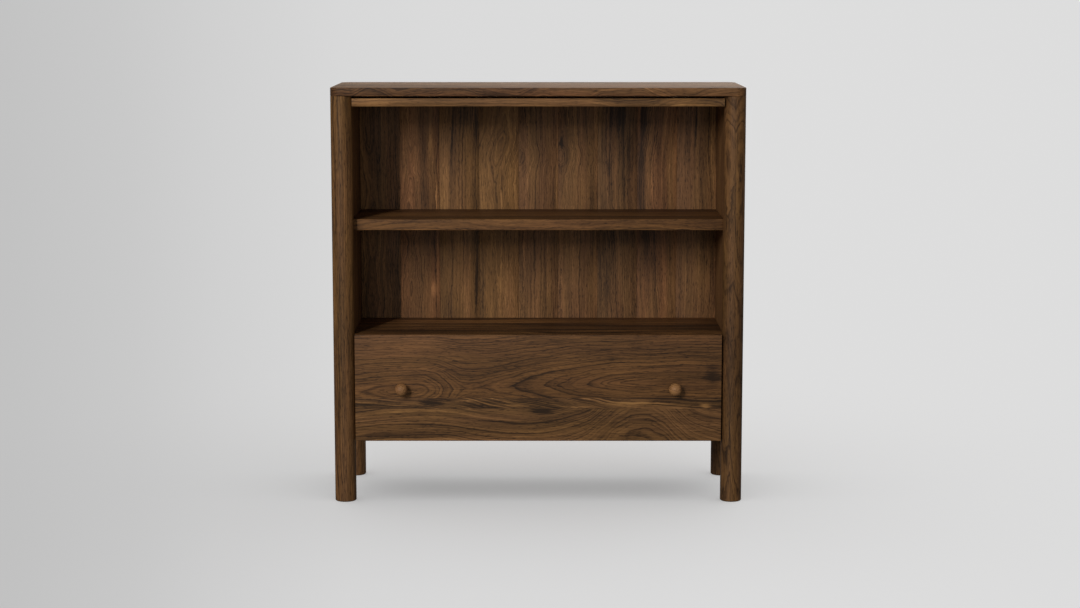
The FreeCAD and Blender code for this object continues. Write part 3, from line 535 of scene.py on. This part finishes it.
def makeSteel(kind):
    material, tree = newTree("zincPlatedSteel." + kind)
    look = steels[kind]
    where = addNode(tree, "ShaderNodeTexCoord")
    drawn = addNode(tree, "ShaderNodeMapping", {"Vector": where.outputs["Object"], "Scale": look["lines"]})
    noise = addNode(tree, "ShaderNodeTexNoise", {"Vector": drawn.outputs[0], "Scale": 1.0, "Detail": 3.0})
    shine = addNode(tree, "ShaderNodeMapRange", {
        "Value": noise.outputs[0], "From Min": shineNoise[0], "From Max": shineNoise[1],
        "To Min": look["roughness"][0], "To Max": look["roughness"][1]})
    tint = addNode(tree, "ShaderNodeMix", {
        "Factor": noise.outputs[0], 6: toLinear(look["colours"][0]), 7: toLinear(look["colours"][1])},
        data_type="RGBA")
    surface = addNode(tree, "ShaderNodeBsdfPrincipled", {
        "Base Color": tint.outputs[2], "Metallic": 1.0, "Roughness": shine.outputs[0]})
    addNode(tree, "ShaderNodeOutputMaterial", {"Surface": surface.outputs[0]})
    return material


# building pieces

def boxShape(low, high):
    shape = bmesh.new()
    bmesh.ops.create_cube(shape, size=1.0)
    bmesh.ops.scale(shape, vec=Vector(high) - Vector(low), verts=shape.verts)
    bmesh.ops.translate(shape, vec=(Vector(high) + Vector(low)) / 2, verts=shape.verts)
    return shape


def ease(shape, edges, radius, segments=2):
    bmesh.ops.bevel(shape, geom=edges, offset=radius, offset_type="OFFSET", affect="EDGES",
                    segments=segments, profile=0.5, material=-1, clamp_overlap=True)


# a merged copy of a CAD node, with each flat face in one piece
def nodeShape(name):
    shape = bmesh.new()
    shape.from_mesh(nodes[name].data)
    bmesh.ops.remove_doubles(shape, verts=shape.verts, dist=samePoint)
    bmesh.ops.dissolve_limit(shape, angle_limit=math.radians(1), verts=shape.verts, edges=shape.edges,
                             delimit={"MATERIAL"})
    return shape


# the sharp outer edges that run along one axis and lie on the box between two corners
def arrises(shape, low, high, along, shortest):
    others = [axis for axis in range(3) if axis != along]
    found = []
    for edge in shape.edges:
        a, b = (vert.co for vert in edge.verts)
        onBox = all(min(abs(a[axis] - low[axis]), abs(a[axis] - high[axis])) < onFace
                    and abs(a[axis] - b[axis]) < onFace for axis in others)
        if onBox and abs(a[along] - b[along]) > shortest:
            found.append(edge)
    return found


# a finished piece in its CAD place, smooth where it is round
def makePiece(name, shape, body, materials, replaced):
    for face in shape.faces:
        face.smooth = True
    for edge in shape.edges:
        edge.smooth = len(edge.link_faces) == 2 and edge.calc_face_angle(0) < smoothAngle
    mesh = bpy.data.meshes.new(name)
    shape.to_mesh(mesh)
    shape.free()
    for material in materials:
        mesh.materials.append(material)
    piece = bpy.data.objects.new(name, mesh)
    bpy.context.scene.collection.objects.link(piece)
    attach(piece, body)
    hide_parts(replaced)
    return piece


# posts: turned, with a bevelled foot and head, and a housing for the side panel

post = {
    "segments": 96,
    "footBevel": 0.002,
    "headBevel": 0.001,
}
postLooks = {
    "post_front_left": {"seed": 11, "sway": (140.0, 10.0, 900.0), "rise": (50.0, 14.0, 900.0), "tone": 0.60},
    "post_front_right": {
        "seed": 26, "sway": (-2.0, 3.0, 500.0), "tone": 0.47, "ringWidth": 7.0, "lineDepth": 0.45,
        "lineShare": 0.4, "bandDepth": 1.0, "fibreDepth": 0.9, "pointed": 0.5,
        "rise": {"range": (-30, 40), "points": [(-497, 6), (-300, 14), (-120, 6), (-30, 0), (40, 6),
                                                (110, 14), (220, 20), (340, 20), (400, 14), (440, 5),
                                                (497, -10)]}},
    "post_rear_left": {"seed": 37, "rise": (160.0, 20.0, 900.0)},
    "post_rear_right": {"seed": 48, "rise": (120.0, 20.0, 900.0)},
}
postGrain = {"hue": "golden", "ringWidth": 4.0, "bandDepth": 1.35, "lineDepth": 0.48,
             "bandSize": (7.0, 420.0), "fibreSize": (2.4, 60.0), "bend": (3.0, 60.0, 300.0),
             "ripple": (0.8, 9.0, 30.0)}


# spins half of the post's outline round its axis
def turnedPost(low, high):
    radius = (high.x - low.x) / 2
    foot, head = post["footBevel"], post["headBevel"]
    outline = [(0, low.z), (radius - foot, low.z), (radius, low.z + foot),
               (radius, high.z - head), (radius - head, high.z), (0, high.z)]
    shape = bmesh.new()
    centre = Vector(((low.x + high.x) / 2, (low.y + high.y) / 2, 0))
    verts = [shape.verts.new(centre + Vector((r, 0, z))) for r, z in outline]
    edges = [shape.edges.new(pair) for pair in zip(verts, verts[1:])]
    bmesh.ops.spin(shape, geom=verts + edges, cent=centre, axis=zAxis, angle=math.tau,
                   steps=post["segments"], use_merge=True)
    bmesh.ops.remove_doubles(shape, verts=shape.verts, dist=samePoint)
    bmesh.ops.recalc_face_normals(shape, faces=shape.faces)
    return shape


# takes one shape out of another
def cutFrom(shape, cutterShape):
    made = []
    for name, source in (("stock", shape), ("cutter", cutterShape)):
        mesh = bpy.data.meshes.new(name)
        source.to_mesh(mesh)
        source.free()
        made.append(bpy.data.objects.new(name, mesh))
        bpy.context.scene.collection.objects.link(made[-1])
    stock, cutter = made
    cutting = stock.modifiers.new("cut", "BOOLEAN")
    cutting.operation, cutting.solver, cutting.object = "DIFFERENCE", "EXACT", cutter
    bpy.context.view_layer.update()
    result = bmesh.new()
    result.from_mesh(stock.evaluated_get(bpy.context.evaluated_depsgraph_get()).to_mesh())
    for thing in made:
        mesh = thing.data
        bpy.data.objects.remove(thing)
        bpy.data.meshes.remove(mesh)
    return result


for name, look in postLooks.items():
    low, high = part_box(name)
    panelLow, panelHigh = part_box("side_panel_" + name.split("_")[2])
    shape = cutFrom(turnedPost(low, high), boxShape(panelLow, panelHigh))
    grain = makeWood("oiledWalnut." + name, walnut, low, high, zAxis, yAxis, **{**postGrain, **look})
    makePiece("post." + name[5:], shape, "carcass", [grain], name)
print("posts: %d" % len(postLooks))


# top slab: round corners over the posts, eased edges, glued from four staves

slab = {
    "cornerSegments": 20,
    "shortestCorner": 0.005,
    "edgeRound": 0.0012,
    "rimAngle": 1.0,             # radians, for the edges that are eased
}
slabLook = {
    "seed": 5, "hue": "red", "staveWidth": 87.5, "sway": (-195.0, 10.0, 200.0), "rise": (42.0, 18.0, 150.0),
    "bandDepth": 1.7, "cloudDepth": 0.9, "bandSize": (8.0, 320.0), "fibreSize": (2.4, 60.0),
    "tone": 0.54,
    "marks": [(-175, -330, 60, 190, -0.12), (-175, 330, 60, 190, 0.16)],
}


def slabShape(low, high, corner):
    shape = boxShape(low, high)
    ease(shape, arrises(shape, low, high, 2, slab["shortestCorner"]), corner, slab["cornerSegments"])
    rims = [edge for edge in shape.edges if edge.calc_face_angle(0) > slab["rimAngle"]]
    ease(shape, rims, slab["edgeRound"], 3)
    return shape


postLow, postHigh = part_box("post_front_left")
low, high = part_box("top_slab")
grain = makeWood("oiledWalnut.topSlab", walnut, low, high, xAxis, zAxis, **slabLook)
makePiece("topSlab", slabShape(low, high, (postHigh.x - postLow.x) / 2), "carcass", [grain],
          "top_slab")
print("top slab")


# boards: the CAD boards with their edges eased

# each board: grain, thickness, edge round in mm, and how its walnut differs
boards = {
    "sub_top": (xAxis, zAxis, 0.8, {
        "seed": 61, "hue": "golden", "tone": 0.58, "sway": (-150.0, 8.0, 700.0), "lineDepth": 0.45,
        "bandDepth": 1.6, "bend": (3.0, 60.0, 300.0),
        "rise": {"range": (20, 60), "points": [(-447, 46), (-200, 52), (100, 46), (250, 30), (345, 52),
                                               (447, 28)]},
        "marks": [(-146, -395, 16, 70, 0.30), (-146, 345, 14, 60, 0.25), (-146, 0, 16, 260, 0.06)]}),
    "deck": (xAxis, zAxis, 0.6, {
        "seed": 72, "hue": "amber", "tone": 0.45, "sway": (-150.0, 10.0, 500.0), "staveWidth": 92.0,
        "staveShift": -50.0, "staveTone": 0.30, "bandDepth": 3.2, "bandSize": (20.0, 700.0)}),
    "shelf": (xAxis, zAxis, 0.5, {
        "seed": 83, "hue": "amber", "sway": (-165.0, 6.0, 500.0), "rise": (40.0, 6.0, 300.0),
        "staveWidth": 92.0, "staveShift": -40.0, "staveTone": 0.26, "tone": 0.70, "bandDepth": 1.3,
        "bend": (2.0, 60.0, 300.0),
        # the first mark, lighter along the whole front edge, is a painted highlight
        "marks": [(-128, 0, 5, 900, 0.20), (-128, 360, 5, 90, 0.2), (-128, -390, 5, 60, 0.12)]}),
    "side_panel_left": (zAxis, xAxis, 0.8, {"seed": 94, "staveWidth": 95.0, "tone": 0.58}),
    "side_panel_right": (zAxis, xAxis, 0.8, {"seed": 105, "staveWidth": 95.0, "tone": 0.60}),
    "lower_front_rail": (xAxis, zAxis, 0.8, {"seed": 116}),
    "lower_rear_rail": (xAxis, zAxis, 0.8, {"seed": 127}),
}


def easedBoard(name, radius):
    shape = nodeShape(name)
    low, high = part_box(name)
    edges = [edge for axis in range(3) for edge in arrises(shape, low, high, axis, shortestArris)]
    ease(shape, edges, radius * millimetre)
    return shape


for name, (along, depth, radius, look) in boards.items():
    low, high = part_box(name)
    grain = makeWood("oiledWalnut." + name, walnut, low, high, along, depth, **look)
    makePiece(name + "_board", easedBoard(name, radius), "carcass", [grain], name)
print("boards: %d" % len(boards))


# back: nine tongued boards, each with its own figure

back = {
    "edgeRound": 0.7,            # mm
    "shortestJoint": 0.5,        # metres, for the upright edges that are eased
}
backGrain = {"bend": (3.5, 70.0, 520.0), "ripple": (1.5, 7.0, 20.0), "bandSize": (9.0, 800.0),
             "bandDepth": 1.3, "ringWidth": 4.5, "lineDepth": 0.50, "pointed": 0.3, "fibreDepth": 0.70,
             "cloudDepth": 0.85, "cloudSize": (45.0, 300.0)}
# rings that close round a knot near the top of a board
knotCentre = {"range": (-40, 40),
              "points": [(-416, -4), (100, -8), (219, -12), (278, 0), (338, 12), (416, 14)]}
knotRise = {"range": (0, 60),
            "points": [(-416, 18), (170, 18), (225, 13), (278, 2), (330, 13), (416, 19)]}
sideKnotRise = {"range": (0, 60),
                "points": [(-416, 20), (190, 20), (228, 14), (258, 3), (288, 14), (416, 20)]}
# each board: seed, hue, tone, the centre of its rings across and behind, and its marks
backBoards = [
    (301, "brown", 0.50, (-28.0, 6.0, 400.0), (8.0, 10.0, 160.0), [(32, 0, 14, 500, 0.06)]),
    (312, "red", 0.62, (-28.0, 6.0, 200.0), (9.0, 6.0, 110.0), [
        (26, 290, 10, 70, 0.30), (40, 150, 4, 60, 0.60), (28, -85, 12, 32, 0.5), (41, -20, 4, 190, 0.3),
        (8, 250, 8, 150, -0.12), (2, 160, 20, 60, -0.12)]),
    (323, "golden", 0.60, (-110.0, 6.0, 700.0), (30.0, 10.0, 600.0), [
        (14, 370, 34, 70, -0.34), (-18, 310, 7, 90, -0.2), (42, 330, 7, 80, -0.3), (43, -60, 6, 90, -0.3),
        (-36, 230, 14, 260, 0.16), (8, -90, 16, 80, 0.14)]),
    (334, "golden", 0.69, knotCentre, knotRise, [
        (4, 190, 4, 60, -0.28), (2, 140, 5, 40, 0.3), (42, 300, 6, 50, -0.25), (28, 180, 16, 80, 0.1)]),
    (345, "brown", 0.60, (-48.0, 2.0, 300.0), sideKnotRise, [
        (-34, 370, 18, 50, -0.3), (46, 150, 4, 90, 0.28), (20, 200, 20, 150, 0.05),
        (-40, 230, 10, 50, -0.2)]),
    (356, "brown", 0.63, (-48.0, 2.0, 300.0), sideKnotRise, [
        (-44, 290, 5, 26, -0.5), (-30, 370, 20, 50, -0.2), (8, 150, 22, 110, 0.08), (45, -90, 4, 80, 0.25)]),
    (367, "grey", 0.54, (90.0, 6.0, 500.0), (30.0, 12.0, 400.0), [
        (-4, 360, 30, 60, -0.3), (24, 290, 7, 60, -0.3), (-30, 235, 9, 40, -0.3), (-32, -90, 9, 70, -0.3),
        (4, 60, 60, 40, -0.2), (36, 170, 8, 90, 0.12)]),
    (378, "red", 0.58, (-120.0, 6.0, 520.0), (30.0, 12.0, 400.0), [
        (-38, 350, 12, 60, -0.35), (-40, 250, 8, 60, -0.3), (-14, 170, 5, 70, 0.25), (31, 150, 9, 60, 0.2),
        (47, 230, 3, 70, -0.4), (-20, 60, 40, 40, -0.2), (20, -70, 8, 90, 0.15)]),
    (389, "brown", 0.64, (80.0, 6.0, 600.0), (30.0, 10.0, 500.0), [
        (-2, 340, 9, 70, -0.45), (30, 330, 14, 120, -0.25), (-36, 200, 14, 160, 0.12), (4, -60, 9, 90, 0.18),
        (42, -60, 10, 110, -0.25)]),
]

for i, (seed, hue, tone, sway, rise, marks) in enumerate(backBoards, start=1):
    name = "back_board_%d" % i
    low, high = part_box(name)
    shape = nodeShape(name)
    joints = [edge for edge in shape.edges
              if abs(edge.verts[0].co.z - edge.verts[1].co.z) > back["shortestJoint"]
              and min(abs(edge.verts[0].co.y - low.y), abs(edge.verts[0].co.y - high.y)) < onFace]
    ease(shape, joints, back["edgeRound"] * millimetre)
    grain = makeWood("oiledWalnut." + name, walnut, low, high, zAxis, yAxis, seed, marks=marks, tone=tone,
                     sway=sway, rise=rise, hue=hue, **backGrain)
    makePiece("backBoard.%d" % i, shape, "carcass", [grain], name)
print("back: %d boards" % len(backBoards))


# drawer front: three boards glued edge to edge, each with its drawn figure

drawerFront = {
    "edgeRound": 0.0012,
    "glueLines": (0.2586, 0.2325),  # heights of the joints between its boards
}
# from the top down; the rings' centre lines are drawn in mm along and across each board
drawerFigures = [
    {"seed": 7, "hue": "amber", "tone": 0.465, "lineDepth": 0.46, "lineShare": 0.40, "bandDepth": 0.9,
     "ringWidth": 6.0, "lineChance": (0.28, 0.55), "bandSize": (7.0, 420.0), "bend": (3.0, 60.0, 140.0),
     "ripple": (1.0, 12.0, 36.0), "fibreDepth": 0.9, "pointed": 0.20, "archReach": 400.0,
     "sway": {"range": (30, 70), "points": [(-447, 62), (-330, 62), (-240, 57), (-91, 50), (14, 46),
                                            (185, 42), (447, 40)]},
     "rise": {"range": (-8, 60), "points": [(-447, 20), (-400, 14), (-340, 8), (-300, 10), (-265, 20),
                                            (-235, 33), (-205, 47), (-171, 55), (-130, 55), (-91, 51),
                                            (-40, 44), (14, 36), (58, 28), (109, 19), (185, 7), (300, -3),
                                            (447, -8)]},
     # the last mark, a lighter band along the top edge, is a painted highlight
     "marks": [(-13, 187, 14, 70, -0.18), (24, 424, 36, 26, -0.38), (-56, -340, 28, 150, 0.18),
               (-72, 0, 10, 500, 0.14)]},
    {"seed": 17, "tone": 0.44, "hue": "golden", "lineDepth": 0.5, "bandDepth": 3.4,
     "ringWidth": 5.0, "bandSize": (5.0, 300.0),
     "bend": (3.0, 50.0, 120.0), "ripple": (0.8, 10.0, 30.0), "fibreDepth": 0.7,
     "sway": {"range": (-180, -40), "points": [(-447, -170), (-215, -150), (-100, -122), (0, -105),
                                               (120, -80), (200, -66), (300, -60), (447, -56)]},
     "rise": (18.0, 4.0, 500.0),
     "marks": [(0, -262, 14, 42, -0.5), (0, -400, 12, 90, -0.35), (-6, -180, 5, 50, 0.45),
               (5, -60, 5, 60, 0.4), (8, 90, 4, 70, 0.4), (0, 230, 10, 90, 0.35), (4, 408, 9, 20, 0.8)]},
    {"seed": 8, "tone": 0.51, "hue": "golden", "lineDepth": 0.5, "bandDepth": 1.5,
     "ringWidth": 7.0, "lineChance": (0.40, 0.62), "bandSize": (7.0, 420.0), "fibreDepth": 0.9,
     "bend": (3.5, 60.0, 160.0), "ripple": (0.8, 12.0, 36.0),
     "sway": {"range": (0, 150), "points": [(-447, 122), (-276, 110), (-120, 128), (0, 135), (90, 118),
                                            (160, 72), (210, 32), (248, 20), (290, 32), (340, 76), (400, 115),
                                            (447, 126)]},
     "rise": (25.0, 6.0, 500.0),
     "marks": [(-34, 12, 15, 42, -0.8), (-30, -420, 14, 60, -0.2), (37, -250, 9, 330, 0.30)]},
]
low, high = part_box("drawer_front")
shape = boxShape(low, high)
ease(shape, [edge for edge in shape.edges if max(vert.co.y for vert in edge.verts) < low.y + millimetre],
     drawerFront["edgeRound"], 3)
heights = [high.z, *drawerFront["glueLines"], low.z]
for height in drawerFront["glueLines"]:
    bmesh.ops.bisect_plane(shape, geom=shape.verts[:] + shape.edges[:] + shape.faces[:], dist=0.000001,
                           plane_co=(0, 0, height), plane_no=zAxis)
for face in shape.faces:
    face.material_index = sum(face.calc_center_median().z < height for height in drawerFront["glueLines"])
figures = []
for i, (top, bottom, look) in enumerate(zip(heights, heights[1:], drawerFigures), start=1):
    figures.append(makeWood("oiledWalnut.drawerFront%d" % i, walnut, (low.x, low.y, bottom),
                            (high.x, high.y, top), xAxis, yAxis, **look))
makePiece("drawerFront", shape, "drawer", figures, "drawer_front")


# drawer box: finger-jointed walls and a panel in a groove

drawerBox = {
    "edgeRound": 0.4,            # mm
    "tone": 0.60,
}
# each wall: grain, thickness and seed
drawerBoards = {
    "drawer_box_front": (xAxis, yAxis, 211),
    "drawer_box_back": (xAxis, yAxis, 222),
    "drawer_side_left": (yAxis, xAxis, 233),
    "drawer_side_right": (yAxis, xAxis, 244),
    "drawer_bottom": (xAxis, zAxis, 255),
}
for name, (along, depth, seed) in drawerBoards.items():
    low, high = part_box(name)
    grain = makeWood("oiledWalnut." + name, walnut, low, high, along, depth, seed, tone=drawerBox["tone"])
    shape = easedBoard(name, drawerBox["edgeRound"])
    makePiece(name + "_board", shape, "drawer", [grain], name)
print("drawer: front and %d boards" % len(drawerBoards))


# knobs: turned balls on a short neck

knob = {
    "segments": 64,
    "arcSteps": 24,
    "neck": 0.0065,
    "footFlare": 0.0008,
}
# the knobs' light tone is partly their own wood and partly painted light, for the brighter light that falls
# on them
knobLook = {"tone": 0.98, "rise": (40.0, 5.0, 400.0), "ringWidth": 4.0, "bandDepth": 0.7, "gloss": 0.3}


# spins the outline of a neck and ball round an axis that points to the front
def knobShape(low, high):
    radius = (high.x - low.x) / 2
    ball = low.y + radius
    start = math.pi - math.asin(knob["neck"] / radius)
    outline = [(0, high.y), (knob["neck"] + knob["footFlare"], high.y),
               (knob["neck"], high.y - knob["footFlare"])]
    for step in range(knob["arcSteps"] + 1):
        angle = start * (1 - step / knob["arcSteps"])
        outline.append((radius * math.sin(angle), ball - radius * math.cos(angle)))
    shape = bmesh.new()
    centre = Vector(((low.x + high.x) / 2, 0, (low.z + high.z) / 2))
    verts = [shape.verts.new(centre + Vector((r, y, 0))) for r, y in outline]
    edges = [shape.edges.new(pair) for pair in zip(verts, verts[1:])]
    bmesh.ops.spin(shape, geom=verts + edges, cent=centre, axis=yAxis, angle=math.tau,
                   steps=knob["segments"], use_merge=True)
    bmesh.ops.remove_doubles(shape, verts=shape.verts, dist=samePoint)
    bmesh.ops.recalc_face_normals(shape, faces=shape.faces)
    return shape


for side, seed in (("left", 404), ("right", 405)):
    low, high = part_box("knob_" + side)
    grain = makeWood("oiledWalnut.knob_" + side, walnut, low, high, yAxis, zAxis, seed, **knobLook)
    makePiece("knob." + side, knobShape(low, high), "drawer", [grain], "knob_" + side)
print("knobs: 2")


# hidden fittings that keep their CAD shapes

# each node: its wood, and the way its grain runs
plainFittings = {
    "post_dowels": (beech, zAxis),
    "sub_top_dowels": (beech, xAxis),
    "deck_dowels": (beech, xAxis),
    "rail_dowels": (beech, xAxis),
    "slab_spacers": (walnut, zAxis),
    "slide_packer_left": (walnut, yAxis),
    "slide_packer_right": (walnut, yAxis),
}


def dressNode(name, material):
    mesh = nodes[name].data
    mesh.materials.clear()
    mesh.materials.append(material)


for seed, (name, (wood, along)) in enumerate(plainFittings.items(), start=500):
    low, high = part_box(name)
    title = "turnedBeech." if wood is beech else "oiledWalnut."
    depth = zAxis if along == yAxis else yAxis
    dressNode(name, makeWood(title + name, wood, low, high, along, depth, seed))
steelSlots = {"slide_steel": makeSteel("slide"), "zinc_plated_steel": makeSteel("screw")}
for row in frame["record"]["subparts"]:
    if row["material_slot"] in steelSlots:
        dressNode(row["node"], steelSlots[row["material_slot"]])
print("fittings: %d of wood, the slides and the screws" % len(plainFittings))


# the box round the dressed model

low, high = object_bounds()
